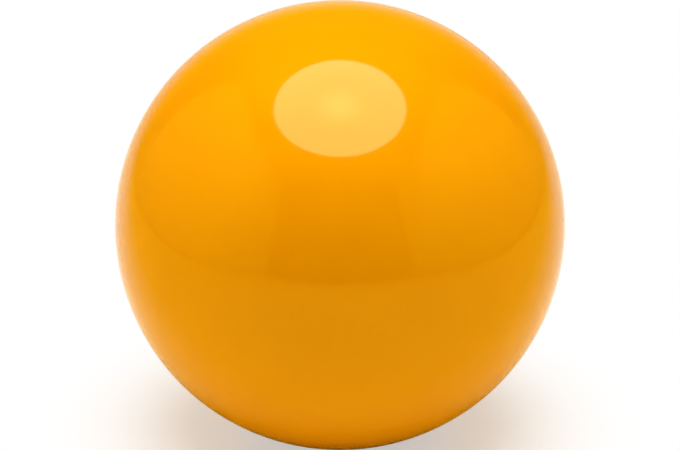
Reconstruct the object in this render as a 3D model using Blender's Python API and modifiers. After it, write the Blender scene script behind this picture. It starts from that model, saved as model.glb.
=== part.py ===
"""A plain billiard ball: a cast core, the coloured shell round it, and the plug in the shell's pin hole.

Metres, with +Z up. The origin is the ball's centre, and the plug is at the bottom of the ball.
"""

import math

import bpy

# Driving dimensions
BALL_DIAMETER = 0.0615
SHELL_WALL = 0.0070  # coloured resin that is left after the ball is ground round
PLUG_DIAMETER = 0.0050  # of the peg in the hole where a pin held the core in the mould
SOCKET_DEPTH = 0.0060  # how far that pin stood in the core
PLUG_CHAMFER = 0.0005  # on the plug's inner end, so that it finds the socket
BOND_GAP = 0.0003  # left open between two pieces for the bond

# Facets
TURN_FACETS = 64
SHELL_FACETS = 16  # pole to equator
CORE_FACETS = 10  # pole to equator
PLUG_FACETS = 3  # rim to pole, on the plug's outer end

# Finishes
AMBER_COLOUR = (0.86, 0.31, 0.002, 1.0)
AMBER_ROUGHNESS = 0.06
FILLER_COLOUR = (0.42, 0.36, 0.28, 1.0)
FILLER_ROUGHNESS = 0.62
CREASE_ANGLE = math.radians(35)
AXIS_MERGE = 0.00001

# Sizes that follow
BALL_RADIUS = BALL_DIAMETER / 2
CAVITY_RADIUS = BALL_RADIUS - SHELL_WALL
CORE_RADIUS = CAVITY_RADIUS - BOND_GAP
PLUG_RADIUS = PLUG_DIAMETER / 2
HOLE_RADIUS = PLUG_RADIUS + BOND_GAP
SOCKET_FLOOR = SOCKET_DEPTH - CORE_RADIUS
PLUG_TOP = SOCKET_FLOOR - BOND_GAP
POLE = math.pi / 2


def clear_scene():
    for thing in list(bpy.data.objects):
        bpy.data.objects.remove(thing, do_unlink=True)


def finish(name, colour, roughness):
    material = bpy.data.materials.new(name)
    material.use_nodes = True
    shader = material.node_tree.nodes["Principled BSDF"]
    shader.inputs["Base Color"].default_value = colour
    shader.inputs["Roughness"].default_value = roughness
    shader.inputs["Metallic"].default_value = 0.0
    return material


def latitude(distance, radius):
    """The latitude below the equator at which a sphere is this far from its axis."""
    return -math.acos(distance / radius)


def arc(radius, start, end, facets):
    """Points (distance from the axis, height) on a sphere, from one latitude to another."""
    step = (end - start) / facets
    angles = [start + step * i for i in range(facets + 1)]
    return [(radius * math.cos(a), radius * math.sin(a)) for a in angles]


def meridian(radius, hole_radius, facets):
    """A sphere's outline from the north pole to the rim of a round hole at the south pole."""
    north = arc(radius, POLE, 0.0, facets)
    south = arc(radius, 0.0, latitude(hole_radius, radius), facets)
    return north + south[1:]


def turned(name, profile, material, collection, centre):
    """A solid turned about Z from a profile that runs down its outer side, from axis to axis."""
    mesh = bpy.data.meshes.new(name)
    points = [(distance, 0.0, height) for distance, height in profile]
    edges = [(i, i + 1) for i in range(len(points) - 1)]
    mesh.from_pydata(points, edges, [])
    part = bpy.data.objects.new(name, mesh)
    collection.objects.link(part)
    screw = part.modifiers.new("turn", "SCREW")
    screw.axis = "Z"
    screw.angle = 2 * math.pi
    screw.steps = TURN_FACETS
    screw.render_steps = TURN_FACETS
    screw.use_merge_vertices = True
    screw.merge_threshold = AXIS_MERGE
    bpy.context.view_layer.update()
    solid = part.evaluated_get(bpy.context.evaluated_depsgraph_get())
    part.data = bpy.data.meshes.new_from_object(solid)
    part.modifiers.clear()
    part.data.name = name
    part.data.shade_smooth()
    part.data.set_sharp_from_angle(angle=CREASE_ANGLE)
    part.data.materials.append(material)
    part.parent = centre
    bpy.data.meshes.remove(mesh)
    return part


def core_profile():
    """A sphere with a blind socket in its south pole."""
    socket = [(HOLE_RADIUS, SOCKET_FLOOR), (0.0, SOCKET_FLOOR)]
    return meridian(CORE_RADIUS, HOLE_RADIUS, CORE_FACETS) + socket


def shell_profile():
    """Down the outside to the pin hole, in through the hole, and up the inside."""
    outside = meridian(BALL_RADIUS, HOLE_RADIUS, SHELL_FACETS)
    inside = meridian(CAVITY_RADIUS, HOLE_RADIUS, CORE_FACETS)
    return outside + inside[::-1]


def plug_profile():
    """A peg with a chamfered inner end, ground to the ball's curve at its outer end."""
    inner_end = [
        (0.0, PLUG_TOP),
        (PLUG_RADIUS - PLUG_CHAMFER, PLUG_TOP),
        (PLUG_RADIUS, PLUG_TOP - PLUG_CHAMFER),
    ]
    outer_end = arc(BALL_RADIUS, latitude(PLUG_RADIUS, BALL_RADIUS), -POLE, PLUG_FACETS)
    return inner_end + outer_end


clear_scene()

ball = bpy.data.collections.new("billiard_ball")
bpy.context.scene.collection.children.link(ball)
ball_centre = bpy.data.objects.new("ball_centre", None)
ball.objects.link(ball_centre)

amber_shell = finish("amber_shell", AMBER_COLOUR, AMBER_ROUGHNESS)
amber_plug = finish("amber_plug", AMBER_COLOUR, AMBER_ROUGHNESS)
filled_core = finish("filled_core", FILLER_COLOUR, FILLER_ROUGHNESS)

turned("core", core_profile(), filled_core, ball, ball_centre)
turned("outer_shell", shell_profile(), amber_shell, ball, ball_centre)
turned("pin_plug", plug_profile(), amber_plug, ball, ball_centre)
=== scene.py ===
# %% [markdown]
# # A polished billiard ball
#
# The object is a plain amber ball, cast in resin, ground round and polished. It looks like the
# simplest thing that there is to model, and that is the difficulty: a ball has no detail to hide
# behind. What tells the eye that it is real is how round it is, how its polish mirrors the room,
# and how its colour holds up under the gloss. So this lesson spends few words on the shape and many
# on the resin, and on the small light tent that the polish reflects.
#
# The sizes come from the CAD model, which is loaded first and never changed.

import math

import bmesh
import bpy
from mathutils import Matrix, Vector


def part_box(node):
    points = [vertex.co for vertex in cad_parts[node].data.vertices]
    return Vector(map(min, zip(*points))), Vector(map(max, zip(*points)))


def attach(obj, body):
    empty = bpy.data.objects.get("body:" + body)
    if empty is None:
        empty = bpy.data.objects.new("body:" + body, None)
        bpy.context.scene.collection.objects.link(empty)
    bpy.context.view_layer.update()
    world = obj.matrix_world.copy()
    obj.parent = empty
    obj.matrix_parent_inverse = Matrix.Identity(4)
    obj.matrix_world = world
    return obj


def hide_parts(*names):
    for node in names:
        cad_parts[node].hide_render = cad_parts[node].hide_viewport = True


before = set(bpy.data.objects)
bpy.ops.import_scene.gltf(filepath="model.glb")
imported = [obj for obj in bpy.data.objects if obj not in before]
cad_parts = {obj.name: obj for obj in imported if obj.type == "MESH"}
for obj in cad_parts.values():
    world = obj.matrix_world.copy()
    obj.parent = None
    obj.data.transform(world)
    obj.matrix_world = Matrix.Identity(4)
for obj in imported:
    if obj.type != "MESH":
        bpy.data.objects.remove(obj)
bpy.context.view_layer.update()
print("CAD nodes:", sorted(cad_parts))

# %% [markdown]
# ## Sizes
#
# Each size is read from the box of a CAD node, so that the pieces made here fit the solids that they
# stand for. The node for the shell has a hole at its south pole, and its box is cut off a little
# there, so the radius comes from its width.

# %% Read the sizes
MM = 0.001

shell_low, shell_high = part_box("outer_shell")
core_low, core_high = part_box("core")
plug_low, plug_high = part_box("pin_plug")

BALL_RADIUS = (shell_high.x - shell_low.x) / 2
CORE_RADIUS = (core_high.x - core_low.x) / 2
PLUG_RADIUS = (plug_high.x - plug_low.x) / 2
PLUG_TOP = plug_high.z
for name, radius in (("ball", BALL_RADIUS), ("core", CORE_RADIUS), ("plug", PLUG_RADIUS)):
    print(f"{name}: {2 * radius / MM:.2f} mm across")

# %% [markdown]
# ## The profile of the shell
#
# The shell is all of the ball that is seen. It is cast round a core that a pin holds in the mould, so
# its wall has one small hole, at the south pole.
#
# A ball could be a UV sphere or an icosphere from one operator. Here it also has a wall, a cavity and
# a hole, so it is turned, as a potter would throw a pot: a profile is drawn on one side of the axis
# and spun once round it. The profile needs no list of points either. One vertex, spun about Y, leaves
# an arc behind it, and a vertex that is extruded leaves a straight line.

# %% Draw the profile of the shell
CENTRE = Vector((0, 0, 0))
ACROSS = Vector((0, 1, 0))
SHELL_WALL = 7.0 * MM
HAIRLINE = 0.03 * MM
HOLE_RADIUS = PLUG_RADIUS + HAIRLINE
CAVITY_RADIUS = BALL_RADIUS - SHELL_WALL
OUTER_STEPS = 120
INNER_STEPS = 48


def swing(profile, vertex, angle, steps):
    """Swings a vertex round the ball's centre: from the north pole, a positive angle is towards +X."""
    swung = bmesh.ops.spin(
        profile, geom=[vertex], cent=CENTRE, axis=ACROSS, angle=angle, steps=steps
    )
    return next(item for item in swung["geom_last"] if isinstance(item, bmesh.types.BMVert))


def draw_to(profile, vertex, x, z):
    """Draws a straight line of the profile from a vertex to a new one at (x, z)."""
    drawn = bmesh.ops.extrude_vert_indiv(profile, verts=[vertex])["verts"]
    bmesh.ops.translate(profile, verts=drawn, vec=Vector((x, 0, z)) - vertex.co)
    return drawn[0]


shell = bmesh.new()
north_pole = shell.verts.new((0, 0, BALL_RADIUS))
outer_rim = swing(shell, north_pole, math.pi - math.asin(HOLE_RADIUS / BALL_RADIUS), OUTER_STEPS)
cavity_rim_height = -math.sqrt(CAVITY_RADIUS**2 - HOLE_RADIUS**2)
inner_rim = draw_to(shell, outer_rim, HOLE_RADIUS, cavity_rim_height)
swing(shell, inner_rim, math.asin(HOLE_RADIUS / CAVITY_RADIUS) - math.pi, INNER_STEPS)
print("points on the profile of the shell:", len(shell.verts))

# %% [markdown]
# ## Turning the shell
#
# Two things decide how round a ball looks. One is the number of steps: at 224 the outline is within
# 3 thousandths of a millimetre of a circle. The other is smooth shading, since the polish would show
# every flat face as a facet in the reflections.
#
# A point on the axis is copied at every step of the spin, so the poles are merged afterwards, and
# only then are the normals worked out. The rim of the pin hole is rounded, because a real edge is
# never quite sharp. The ball is ground and polished with the hole already plugged, which leaves the
# two flush and the joint no wider than a hair.

# %% Turn the shell
UP = Vector((0, 0, 1))
FULL_TURN = 2 * math.pi
TURN_STEPS = 224
MERGE = 0.001 * MM
RIM_ROUND = 0.04 * MM
RIM_SEGMENTS = 2


def turn(profile, steps):
    """Spins the whole profile once round Z and closes it at the poles."""
    everything = profile.verts[:] + profile.edges[:]
    bmesh.ops.spin(
        profile, geom=everything, cent=CENTRE, axis=UP, angle=FULL_TURN, steps=steps, use_merge=True
    )
    bmesh.ops.remove_doubles(profile, verts=profile.verts, dist=MERGE)
    bmesh.ops.recalc_face_normals(profile, faces=profile.faces)


def soften_rim(solid, radius, below):
    """Rounds the circle about Z that has this radius and lies lower than a height."""

    def on_circle(vertex):
        place = vertex.co
        return place.z < below and abs(math.hypot(place.x, place.y) - radius) < MERGE

    def is_level(edge):
        return abs(edge.verts[0].co.z - edge.verts[1].co.z) < MERGE

    rim = [edge for edge in solid.edges if all(map(on_circle, edge.verts)) and is_level(edge)]
    bmesh.ops.bevel(
        solid,
        geom=rim,
        offset=RIM_ROUND,
        segments=RIM_SEGMENTS,
        profile=0.5,
        affect="EDGES",
        material=-1,
    )
    print("edges of a rim rounded:", len(rim))


turn(shell, TURN_STEPS)
soften_rim(shell, HOLE_RADIUS, -CAVITY_RADIUS - SHELL_WALL / 2)

# %% [markdown]
# ## From a mesh to a piece
#
# So far the shell is a bmesh, which is a mesh on the workbench. It becomes a piece of the scene when
# it is written to a mesh and given an object. The object stays at the origin, unturned and unscaled,
# because the mesh already has its place. All faces are shaded smooth, apart from edges that are
# sharper than an angle, such as the mouth of the hole.

# %% Make the shell a piece
CREASE_ANGLE = math.radians(35)


def as_piece(solid, name):
    """Makes an object of the bmesh, smooth but for its creases."""
    mesh = bpy.data.meshes.new(name)
    solid.to_mesh(mesh)
    solid.free()
    mesh.shade_smooth()
    mesh.set_sharp_from_angle(angle=CREASE_ANGLE)
    piece = bpy.data.objects.new(name, mesh)
    bpy.context.scene.collection.objects.link(piece)
    triangles = sum(len(face.vertices) - 2 for face in mesh.polygons)
    print(f"{name}: {len(mesh.vertices)} vertices, {triangles} triangles")
    return piece


polished_shell = as_piece(shell, "polished_shell")

# %% [markdown]
# ## The plug in the pin hole
#
# When the mould is opened the pin comes out, and a peg of the same resin is glued into its hole. Its
# outer end is ground with the ball, so it has the ball's curve. A cylinder with a ball cut from it
# would do, but turning gives cleaner faces: from the south pole, a short swing for the ground end,
# then three straight lines for the peg and its chamfer.

# %% Turn the plug
PLUG_CHAMFER = 0.5 * MM
PLUG_STEPS = 12
SMALL_TURN_STEPS = TURN_STEPS // 2

plug = bmesh.new()
south_pole = plug.verts.new((0, 0, -BALL_RADIUS))
ground_rim = swing(plug, south_pole, -math.asin(PLUG_RADIUS / BALL_RADIUS), PLUG_STEPS)
shoulder = draw_to(plug, ground_rim, PLUG_RADIUS, PLUG_TOP - PLUG_CHAMFER)
end_rim = draw_to(plug, shoulder, PLUG_RADIUS - PLUG_CHAMFER, PLUG_TOP)
draw_to(plug, end_rim, 0, PLUG_TOP)
turn(plug, SMALL_TURN_STEPS)
soften_rim(plug, PLUG_RADIUS, PLUG_TOP - SHELL_WALL)
flush_plug = as_piece(plug, "flush_plug")

# %% [markdown]
# ## The core
#
# The core is a plainer casting: resin stretched with a mineral filler, which makes it cheap, heavy and
# steady as it cures. Nobody sees it unless the ball is cut. Its socket is where the pin stood. The
# socket could be cut out of a sphere with a boolean, but it is only two more lines of the profile.

# %% Turn the core
SOCKET_CLEARANCE = 0.3 * MM
SOCKET_RADIUS = PLUG_RADIUS + SOCKET_CLEARANCE
SOCKET_FLOOR = PLUG_TOP + SOCKET_CLEARANCE
CORE_STEPS = 48

core = bmesh.new()
core_top = core.verts.new((0, 0, CORE_RADIUS))
socket_rim = swing(core, core_top, math.pi - math.asin(SOCKET_RADIUS / CORE_RADIUS), CORE_STEPS)
socket_edge = draw_to(core, socket_rim, SOCKET_RADIUS, SOCKET_FLOOR)
draw_to(core, socket_edge, 0, SOCKET_FLOOR)
turn(core, SMALL_TURN_STEPS)
cast_core = as_piece(core, "cast_core")

# %% [markdown]
# ## Arithmetic for shaders
#
# A finish is worked out by a graph of nodes, and most of those nodes only add or multiply. It reads
# better as arithmetic. The class below wraps a socket, so that `1 - mask * 0.2` adds the Math nodes
# that it needs. Its `node` method adds a node of any other kind, and the last three methods are
# short names for the kinds that come up often.
#
# Sockets go by name, but for those of the Mix node: its sockets for colours have the same names as
# those for numbers, so they go by their place in the list.

# %% A socket that can be added and multiplied
MIX_FIRST = 6
MIX_SECOND = 7
MIX_RESULT = 2


class Wire:
    """An output socket in a node tree, with Python's operators."""

    def __init__(self, tree, socket=None):
        self.tree = tree
        self.socket = socket

    def node(self, kind, settings=None, inputs=None, output=0):
        """Adds a node: first its settings, then the values or wires of its sockets."""
        made = self.tree.nodes.new(kind)
        for name, value in (settings or {}).items():
            setattr(made, name, value)
        for name, value in (inputs or {}).items():
            if isinstance(value, Wire):
                self.tree.links.new(value.socket, made.inputs[name])
            else:
                made.inputs[name].default_value = value
        return Wire(self.tree, made.outputs[output]) if made.outputs else None

    def other(self, output):
        """Another output of the node that this one belongs to."""
        return Wire(self.tree, self.socket.node.outputs[output])

    def maths(self, operation, first, second=0.0):
        return self.node("ShaderNodeMath", {"operation": operation}, {0: first, 1: second})

    def __add__(self, other):
        return self.maths("ADD", self, other)

    def __radd__(self, other):
        return self.maths("ADD", other, self)

    def __sub__(self, other):
        return self.maths("SUBTRACT", self, other)

    def __rsub__(self, other):
        return self.maths("SUBTRACT", other, self)

    def __mul__(self, other):
        return self.maths("MULTIPLY", self, other)

    def __rmul__(self, other):
        return self.maths("MULTIPLY", other, self)

    def __truediv__(self, other):
        return self.maths("DIVIDE", self, other)

    def ramp(self, low, high):
        """0 below low, 1 above high, and an S-curve between them."""
        settings = {"interpolation_type": "SMOOTHSTEP"}
        inputs = {"Value": self, "From Min": low, "From Max": high}
        return self.node("ShaderNodeMapRange", settings, inputs)

    def mix(self, none, full):
        """A colour between two others, by this share."""
        inputs = {"Factor": self, MIX_FIRST: none, MIX_SECOND: full}
        return self.node("ShaderNodeMix", {"data_type": "RGBA"}, inputs, MIX_RESULT)

    def noise(self, size, detail):
        """Soft random lumps of about a size, by this place."""
        inputs = {"Vector": self, "Scale": 1 / size, "Detail": detail}
        return self.node("ShaderNodeTexNoise", None, inputs)


def new_finish(name):
    """An empty material and the wire that its nodes are added with."""
    material = bpy.data.materials.new(name)
    material.use_nodes = True
    material.node_tree.nodes.clear()
    return material, Wire(material.node_tree)


def set_surface(wire, surface):
    wire.node("ShaderNodeOutputMaterial", None, {"Surface": surface})
    print(f"{wire.tree.name}: {len(wire.tree.nodes)} nodes")


# %% [markdown]
# ## Amber resin
#
# Cast resin is coloured right through. Two things keep it from looking like flat paint: the pigment
# never mixes quite evenly, so there are broad clouds a shade apart, and the wheel that polishes it
# leaves hairlines that are too fine to see, except that they take a little off the gloss.
#
# The clouds mix two ambers that are close together. The hairlines are noise that is stretched so far
# along one axis that it turns into threads, laid in two directions. They only change the roughness.
# A bump would show them as grooves, which a polished ball doesn't have.
#
# The gloss itself is the shader's own. Phenolic resin bends light more than window glass does, so its
# index is 1.63, and the sides of the ball mirror more than its middle. A camera that is set for strong
# colours loses the little blue that is left in such a yellow, in its reflections too. The gloss is
# tinted to give that look.

# %% Make the amber resin
CLOUD_SIZE = 14 * MM
CLOUD_DETAIL = 2.0
CLOUD_RANGE = (0.3, 0.7)
THREAD_WIDTH = 0.12 * MM
THREAD_LENGTH = 9 * MM
THREAD_DETAIL = 1.0
THREAD_RANGE = (0.66, 0.8)
THREAD_TURNS = (Vector((0.4, 0.9, 0.2)), Vector((1.1, -0.5, 2.3)))
HAZE_SIZE = CLOUD_SIZE / 3
HAZE_DETAIL = 4.0
POLISH_ROUGHNESS = 0.055
HAZE_ROUGHNESS = 0.02
THREAD_ROUGHNESS = 0.05
RESIN_IOR = 1.63
GLOSS_TINT = (1.0, 1.0, 0.41, 1)
SHELL_AMBER = ((0.859, 0.328, 0.0, 1), (0.882, 0.342, 0.0, 1))
PLUG_AMBER = ((0.838, 0.314, 0.0, 1), (0.862, 0.328, 0.0, 1))


def hairlines(wire, place, turn_by):
    """Threads of polish that run along one direction of the ball: 1 on a thread and 0 off it."""
    stretch = (1 / THREAD_WIDTH, 1 / THREAD_LENGTH, 1 / THREAD_LENGTH)
    inputs = {"Vector": place, "Rotation": turn_by, "Scale": stretch}
    laid = wire.node("ShaderNodeMapping", {"vector_type": "POINT"}, inputs)
    return laid.noise(size=1.0, detail=THREAD_DETAIL).ramp(*THREAD_RANGE)


def amber_resin(name, deep, light):
    material, wire = new_finish(name)
    place = wire.node("ShaderNodeTexCoord", output="Object")
    clouds = place.noise(CLOUD_SIZE, CLOUD_DETAIL)
    threads = sum(hairlines(wire, place, turn_by) for turn_by in THREAD_TURNS)
    haze = place.noise(HAZE_SIZE, HAZE_DETAIL)
    resin = {
        "Base Color": clouds.ramp(*CLOUD_RANGE).mix(deep, light),
        "Roughness": POLISH_ROUGHNESS + haze * HAZE_ROUGHNESS + threads * THREAD_ROUGHNESS,
        "IOR": RESIN_IOR,
        "Specular Tint": GLOSS_TINT,
    }
    set_surface(wire, wire.node("ShaderNodeBsdfPrincipled", None, resin))
    return material


polished_shell.data.materials.append(amber_resin("shell_resin", *SHELL_AMBER))
flush_plug.data.materials.append(amber_resin("plug_resin", *PLUG_AMBER))

# %% [markdown]
# ## Filled resin
#
# The filler in the core is a fine mineral powder, with a few coarser grains. A noise gives the mottled
# buff, a Voronoi pattern gives the grains, and both drive a small bump, because this casting was never
# polished. Modelled grains would be far too many faces for a piece that is hidden.

# %% Make the filled resin
MOTTLE_SIZE = 3 * MM
MOTTLE_DETAIL = 5.0
MOTTLE_RANGE = (0.3, 0.7)
BUFF_DARK = (0.36, 0.30, 0.225, 1)
BUFF_LIGHT = (0.47, 0.41, 0.325, 1)
GRAIN_SIZE = 0.9 * MM
GRAIN_EDGE = (0.12, 0.3)
GRAIN_SHARE = 0.7
GRAIN_COLOUR = (0.62, 0.58, 0.5, 1)
GRAIN_HEIGHT = 0.5
CAST_RELIEF = 0.05 * MM
RELIEF_STRENGTH = 0.6
CAST_ROUGHNESS = 0.55
MOTTLE_ROUGHNESS = 0.2

filled_resin, wire = new_finish("filled_resin")
place = wire.node("ShaderNodeTexCoord", output="Object")
mottle = place.noise(MOTTLE_SIZE, MOTTLE_DETAIL)
cells = wire.node("ShaderNodeTexVoronoi", None, {"Vector": place, "Scale": 1 / GRAIN_SIZE})
grains = 1 - cells.ramp(*GRAIN_EDGE)
buff = mottle.ramp(*MOTTLE_RANGE).mix(BUFF_DARK, BUFF_LIGHT)
height = mottle + grains * GRAIN_HEIGHT
bump = {"Strength": RELIEF_STRENGTH, "Distance": CAST_RELIEF, "Height": height}
filler = {
    "Base Color": (grains * GRAIN_SHARE).mix(buff, GRAIN_COLOUR),
    "Roughness": CAST_ROUGHNESS + mottle * MOTTLE_ROUGHNESS,
    "Normal": wire.node("ShaderNodeBump", None, bump),
}
set_surface(wire, wire.node("ShaderNodeBsdfPrincipled", None, filler))
cast_core.data.materials.append(filled_resin)

# %% [markdown]
# ## Hand the pieces to the frame
#
# A ball has no joints, so there is one body and every piece rides on it. Each piece stands for its CAD
# node, which is hidden.

# %% Ride and replace
PIECES = (
    (polished_shell, "outer_shell", "amber_shell"),
    (flush_plug, "pin_plug", "amber_plug"),
    (cast_core, "core", "filled_core"),
)
for piece, node, slot in PIECES:
    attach(piece, "root")
    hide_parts(node)
print("pieces on the frame:", [piece.name for piece, _, _ in PIECES])

# %% [markdown]
# ## The light tent
#
# A polished ball is a mirror as much as it is a coloured thing, so the room round it is half of its
# look. This one is a small tent, such as small things are photographed in: a round lamp under the
# roof, a card at each side, a card at the back with painted shade that darkens it upwards, and across
# the front a near-black sheet that stands for the unlit room in front of the tent, as painted shade,
# all on a white table. A cloth closes the tent behind the side cards, with painted shade that darkens
# it upwards, and shows in the gap under them as the dark line between wall and table.
#
# A picture of a studio, wrapped round the ball, would be quicker. But a real tent is near, and the
# ball shows its walls bent, each at its own distance, and lit by the same lamp as the ball. So the
# tent is built. All its lengths are in ball radii, from the ball's centre.

# %% Measure the tent
SIDE = 7.7
SIDE_BACK = 6.4
CLOTH = 8.0
FRONT = -11.4
BACK = 9.5
TABLE = -1.0
CARD_GAP = 0.07
ROOF = 11.5


def tent_length(radii):
    return radii * BALL_RADIUS


def tent_place(wire):
    """How far a point is right of the ball's centre, behind it and above it, in ball radii."""
    place = wire.node("ShaderNodeTexCoord", output="Object")
    inputs = {0: place, "Scale": 1 / BALL_RADIUS}
    radii = wire.node("ShaderNodeVectorMath", {"operation": "SCALE"}, inputs)
    right = wire.node("ShaderNodeSeparateXYZ", None, {"Vector": radii})
    return right, right.other("Y"), right.other("Z")


print(f"tent: {tent_length(2 * CLOTH):.2f} m wide, {tent_length(BACK - FRONT):.2f} m deep")

# %% [markdown]
# ## Matt cards
#
# The walls could be given a glow of their own, but then each of them would need its brightness painted
# on. Here the lamp lights them, so they grow dim towards the front, the floor and the roof as real ones
# do, and the ball shows it. Some light and shade is painted on them all the same: the cards are all one
# yellow at lightnesses of their own, the left card painted lighter than the right one, and the back
# card and the cloth behind the side cards carry painted shade that darkens them towards the top.
#
# The cards are a golden yellow. A photographer uses such cards for a warm, strong colour, because
# white ones would lay a milky film over it. The foot of the back card is pale, though: it is mirrored
# in the very edge of the ball, where the polish shows a colour at its full strength, and yellow would
# draw a bright line there.

# %% Make the finishes of the cards
YELLOW = (1.0, 0.82, 0.07, 1)
PALE = (1.0, 0.96, 0.95, 1)
PALE_SPREAD = 0.06
PALE_RISE = 4.0
# Painted light and shade: the side cards are one yellow, the left one painted lighter than the right.
LEFT_LIT_LIGHTNESS = 0.86
RIGHT_SHADED_LIGHTNESS = 0.73
ROOF_LIGHTNESS = 0.72
# Painted shade: a near-black sheet across the front stands for the unlit room in front of the tent.
FRONT_SHADE_LIGHTNESS = 0.01
# Painted shade: the back card and the cloth darken from their foot to their top.
BACK_FOOT = 0.93
BACK_TOP = 0.28
BACK_SHADE_TO = 6.0
BACK_PALE_TO = 3.6
CLOTH_FOOT = 0.88
CLOTH_TOP = 0.3
CLOTH_SHADE_TO = 2.8


def shade(colour, lightness):
    """A colour times a lightness."""
    return tuple(lightness * part for part in colour[:3]) + (1,)


def plain_card(name, lightness):
    """A matt yellow finish, the same all over."""
    material, wire = new_finish(name)
    matt = {"Color": shade(YELLOW, lightness)}
    set_surface(wire, wire.node("ShaderNodeBsdfDiffuse", None, matt))
    return material


def shade_painted_card(name, foot, top, shade_to, pale_to=None):
    """A matt yellow finish with painted shade: its lightness at the table and at a height, and how far
    up it is pale.
    """
    material, wire = new_finish(name)
    right, _, above = tent_place(wire)
    # Painted shade: the lightness falls from the foot to the top.
    painted_shade = above.ramp(TABLE, shade_to)
    colour = painted_shade.mix(shade(YELLOW, foot), shade(YELLOW, top))
    if pale_to is not None:
        yellow = (above + PALE_SPREAD * right * right).ramp(pale_to - PALE_RISE, pale_to)
        colour = yellow.mix(painted_shade.mix(shade(PALE, foot), shade(PALE, top)), colour)
    set_surface(wire, wire.node("ShaderNodeBsdfDiffuse", None, {"Color": colour}))
    return material


left_finish = plain_card("left_card", LEFT_LIT_LIGHTNESS)
right_finish = plain_card("right_card", RIGHT_SHADED_LIGHTNESS)
roof_finish = plain_card("tent_roof", ROOF_LIGHTNESS)
front_shade_finish = plain_card("front_painted_shade", FRONT_SHADE_LIGHTNESS)
shaded_cloth_finish = shade_painted_card("shade_painted_cloth", CLOTH_FOOT, CLOTH_TOP, CLOTH_SHADE_TO)
back_finish = shade_painted_card("back_card", BACK_FOOT, BACK_TOP, BACK_SHADE_TO, BACK_PALE_TO)

# %% [markdown]
# ## Standing the cards up
#
# A card is one square face with edges of 1, of which the operator is told the half, stretched along
# its two edges. Its place is put in the mesh, as for a piece of the ball. All of the tent is stage,
# which means that it isn't part of the object, and it is hidden from the camera, so that it doesn't
# stand in the way of a view from the side.

# %% Stand the cards up
HALF_EDGE = 0.5
WALL = (0, 0, ROOF - TABLE)
SIDE_DEPTH = (0, SIDE_BACK - FRONT, 0)
TENT_DEPTH = (0, BACK - FRONT, 0)
TENT_WIDTH = (2 * CLOTH, 0, 0)


def stage_piece(name, solid, material, seen):
    mesh = bpy.data.meshes.new(name)
    solid.to_mesh(mesh)
    solid.free()
    mesh.materials.append(material)
    thing = bpy.data.objects.new(name, mesh)
    bpy.context.scene.collection.objects.link(thing)
    thing.visible_camera = seen
    print("on the stage:", name)
    return thing


def card(name, corner, along, upward, material):
    """A flat card from one corner, along two edges."""
    sheet = bmesh.new()
    bmesh.ops.create_grid(sheet, x_segments=1, y_segments=1, size=HALF_EDGE)
    across, rise = Vector(along), Vector(upward)
    place = Matrix((across, rise, across.cross(rise).normalized())).transposed().to_4x4()
    place.translation = Vector(corner) + across / 2 + rise / 2
    bmesh.ops.transform(sheet, matrix=Matrix.Scale(BALL_RADIUS, 4) @ place, verts=sheet.verts)
    return stage_piece(name, sheet, material, False)


card("left_card", (-SIDE, FRONT, TABLE + CARD_GAP), SIDE_DEPTH, WALL, left_finish)
card("right_card", (SIDE, FRONT, TABLE + CARD_GAP), SIDE_DEPTH, WALL, right_finish)
card("back_card", (-CLOTH, BACK, TABLE), TENT_WIDTH, WALL, back_finish)
card("left_cloth", (-CLOTH, FRONT, TABLE), TENT_DEPTH, WALL, shaded_cloth_finish)
card("right_cloth", (CLOTH, FRONT, TABLE), TENT_DEPTH, WALL, shaded_cloth_finish)
# Painted shade: the near-black sheet that stands for the unlit room in front of the tent.
card("front_shade_sheet", (-CLOTH, FRONT, TABLE), TENT_WIDTH, WALL, front_shade_finish)
card("tent_roof", (-CLOTH, FRONT, ROOF), TENT_WIDTH, TENT_DEPTH, roof_finish)

# %% [markdown]
# ## The lamp
#
# The round lamp does two jobs. It lights the ball and the tent, and it shows on the ball as the pale
# oval. A glowing disc could do both, but its light would be noisy. So a lamp object lights, and a disc
# in the same place is what the polish mirrors.

# %% Hang the lamp
LAMP_HEIGHT = 10.6
LAMP_FORWARD = -1.28
LAMP_RADIUS = 5.62
LAMP_WATTS = 1.38

lamp_place = tent_length(1) * Vector((0, LAMP_FORWARD, LAMP_HEIGHT))
lamp_data = bpy.data.lights.new("tent_lamp", "AREA")
lamp_data.shape = "DISK"
lamp_data.size = 2 * tent_length(LAMP_RADIUS)
lamp_data.energy = LAMP_WATTS
lamp = bpy.data.objects.new("tent_lamp", lamp_data)
lamp.location = lamp_place
lamp.visible_camera = False
lamp.visible_glossy = False
bpy.context.scene.collection.objects.link(lamp)
print(f"lamp: {lamp_data.size:.2f} m across, {tent_length(LAMP_HEIGHT - TABLE):.2f} m up")

# %% [markdown]
# ## The face of the lamp
#
# The lamp's diffuser is even, but for the middle, where the bulb shines through, and its white has a
# trace of pink. The disc is hidden from everything but reflections, so that it adds no light to the
# lamp's.

# %% Make the face of the lamp
LAMP_WHITE = (1.0, 0.95, 1.0, 1)
DIFFUSER_GLOW = 3.5
BULB_GLOW = 4.96
BULB_RADIUS = 2.5
DISC_STEPS = 96

face_finish, wire = new_finish("lamp_face")
ends = {0: wire.node("ShaderNodeTexCoord", output="Object"), 1: lamp_place}
from_bulb = wire.node("ShaderNodeVectorMath", {"operation": "DISTANCE"}, ends, output="Value")
bulb, diffuser = shade(LAMP_WHITE, BULB_GLOW), shade(LAMP_WHITE, DIFFUSER_GLOW)
glow = from_bulb.ramp(0.0, tent_length(BULB_RADIUS)).mix(bulb, diffuser)
set_surface(wire, wire.node("ShaderNodeEmission", None, {"Color": glow}))

disc = bmesh.new()
bmesh.ops.create_circle(
    disc, cap_ends=True, segments=DISC_STEPS, radius=tent_length(LAMP_RADIUS)
)
bmesh.ops.translate(disc, verts=disc.verts, vec=lamp_place)
lamp_face = stage_piece("lamp_face", disc, face_finish, False)
lamp_face.visible_diffuse = False
lamp_face.visible_shadow = False
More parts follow.
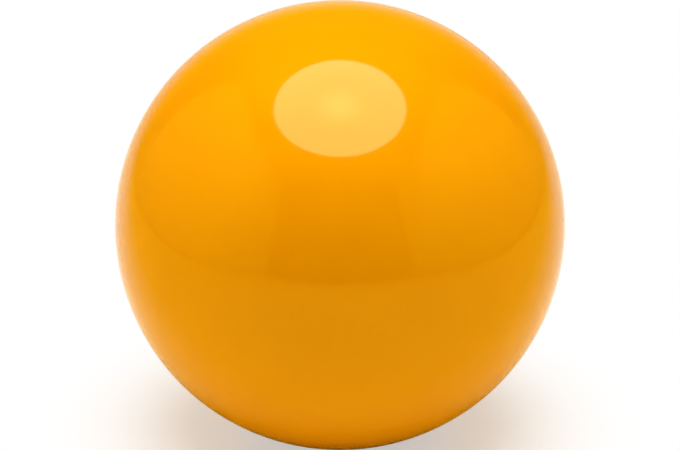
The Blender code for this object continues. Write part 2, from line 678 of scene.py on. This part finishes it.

# %% [markdown]
# ## The paper on the table
#
# The table is matt paper of a warm white, lit like anything else close to the ball, so it keeps the
# ball's soft shadow, though the camera sees that shadow at most half as deep: a painted white glow
# makes up the rest. Further off, what the camera sees is plain white, and so is what a polish or a
# glass sees past the tent. Inside the tent the polish sees the lit paper in colours painted for its
# reflection only: yellow in front of the ball, as the cards are, and pale behind it, where the edge of
# the ball mirrors it. The border between the two bends back at both sides, and is softer the further
# it is from the ball.
#
# One white material would do for a dull object. Light Path tells the rays apart, so that the camera
# and the polish can each see the paper that suits them.

# %% Make the paper
WARM_WHITE = (0.99, 0.935, 0.92, 1)
MIRRORED_LIGHTNESS = 0.95
PALE_BEND = 0.21
PALE_FADE = 0.05
PALE_RANGE = (-1.2, 0.98)
SHADOW_RANGE = (0.55, 1.4)
SHADOW_DEPTH = 0.5
TENT_EDGE = (14.0, 15.0)
WHITE = (1.0, 1.0, 1.0, 1)
WHITE_GLOW = 1.0


def looks(wire):
    """Two masks: 1 for what the camera sees, and 1 for what a mirror or a glass shows."""
    camera_ray = wire.node("ShaderNodeLightPath", output="Is Camera Ray")
    return camera_ray, camera_ray.other("Is Glossy Ray") + camera_ray.other("Is Transmission Ray")


paper, wire = new_finish("table_paper")
seen, mirrored = looks(wire)
right, behind, _ = tent_place(wire)
sideways = right * right
from_ball = wire.maths("SQRT", sideways + behind * behind)
# Painted light: near the ball the camera sees the paper's real shadow at most half as deep, a white
# glow making up the rest.
shadow = SHADOW_DEPTH * (1 - from_ball.ramp(*SHADOW_RANGE))
plain = seen * (1 - shadow) + mirrored * from_ball.ramp(*TENT_EDGE)
pale = ((behind - PALE_BEND * sideways) / (1 + PALE_FADE * sideways)).ramp(*PALE_RANGE)
mirrored_paper = pale.mix(shade(YELLOW, MIRRORED_LIGHTNESS), shade(PALE, MIRRORED_LIGHTNESS))
paper_colour = mirrored.mix(WARM_WHITE, mirrored_paper)
lit_paper = wire.node("ShaderNodeBsdfDiffuse", None, {"Color": paper_colour})
white_paper = wire.node("ShaderNodeEmission", None, {"Color": WHITE, "Strength": WHITE_GLOW})
set_surface(wire, wire.node("ShaderNodeMixShader", None, {0: plain, 1: lit_paper, 2: white_paper}))

# %% [markdown]
# ## The table and the room
#
# The table is one large disc, so that no edge of it shows. The world behind it is the same plain white
# for the camera, for a polish and for a glass. It lights the ball hardly at all, because the tent is
# closed and a real room is dim next to a lamp.

# %% Lay the table and whiten the room
TABLE_RADIUS = 60.0
ROOM_LIGHT = 0.016

table = bmesh.new()
bmesh.ops.create_circle(
    table, cap_ends=True, segments=DISC_STEPS, radius=tent_length(TABLE_RADIUS)
)
bmesh.ops.translate(table, verts=table.verts, vec=(0, 0, tent_length(TABLE)))
stage_piece("table", table, paper, True)

world = bpy.data.worlds.new("white_room")
world.use_nodes = True
world.node_tree.nodes.clear()
wire = Wire(world.node_tree)
seen, mirrored = looks(wire)
strength = ROOM_LIGHT + (WHITE_GLOW - ROOM_LIGHT) * (seen + mirrored)
room = wire.node("ShaderNodeBackground", None, {"Color": WHITE, "Strength": strength})
wire.node("ShaderNodeOutputWorld", None, {"Surface": room})
bpy.context.scene.world = world

# %% [markdown]
# ## The camera
#
# The camera looks down at the ball by about 24 degrees, which the reflections give away: at that angle
# the edges of the tent come out straight and upright. It stands well back with a long lens. The lens
# is worked out so that the ball just fills the height of the picture: the line of sight that touches
# the ball gives half the height, at a distance of 1 from the camera.

# %% Place the camera
CAMERA_TILT = math.radians(23.8)
CAMERA_DISTANCE = 20.0
PICTURE_WIDTH = 680
PICTURE_HEIGHT = 450
SENSOR_WIDTH = 36.0

half_height = 1 / math.sqrt(CAMERA_DISTANCE**2 - 1)
half_width = half_height * PICTURE_WIDTH / PICTURE_HEIGHT
camera_data = bpy.data.cameras.new("camera")
camera_data.sensor_fit = "HORIZONTAL"
camera_data.sensor_width = SENSOR_WIDTH
camera_data.lens = SENSOR_WIDTH / (2 * half_width)
camera = bpy.data.objects.new("camera", camera_data)
towards_camera = Vector((0, -math.cos(CAMERA_TILT), math.sin(CAMERA_TILT)))
camera.location = tent_length(CAMERA_DISTANCE) * towards_camera
camera.rotation_euler = (math.pi / 2 - CAMERA_TILT, 0, 0)
bpy.context.scene.collection.objects.link(camera)
bpy.context.scene.camera = camera
bpy.context.scene.view_settings.view_transform = "Standard"
print(f"lens {camera_data.lens:.0f} mm, {tent_length(CAMERA_DISTANCE):.2f} m from the ball")
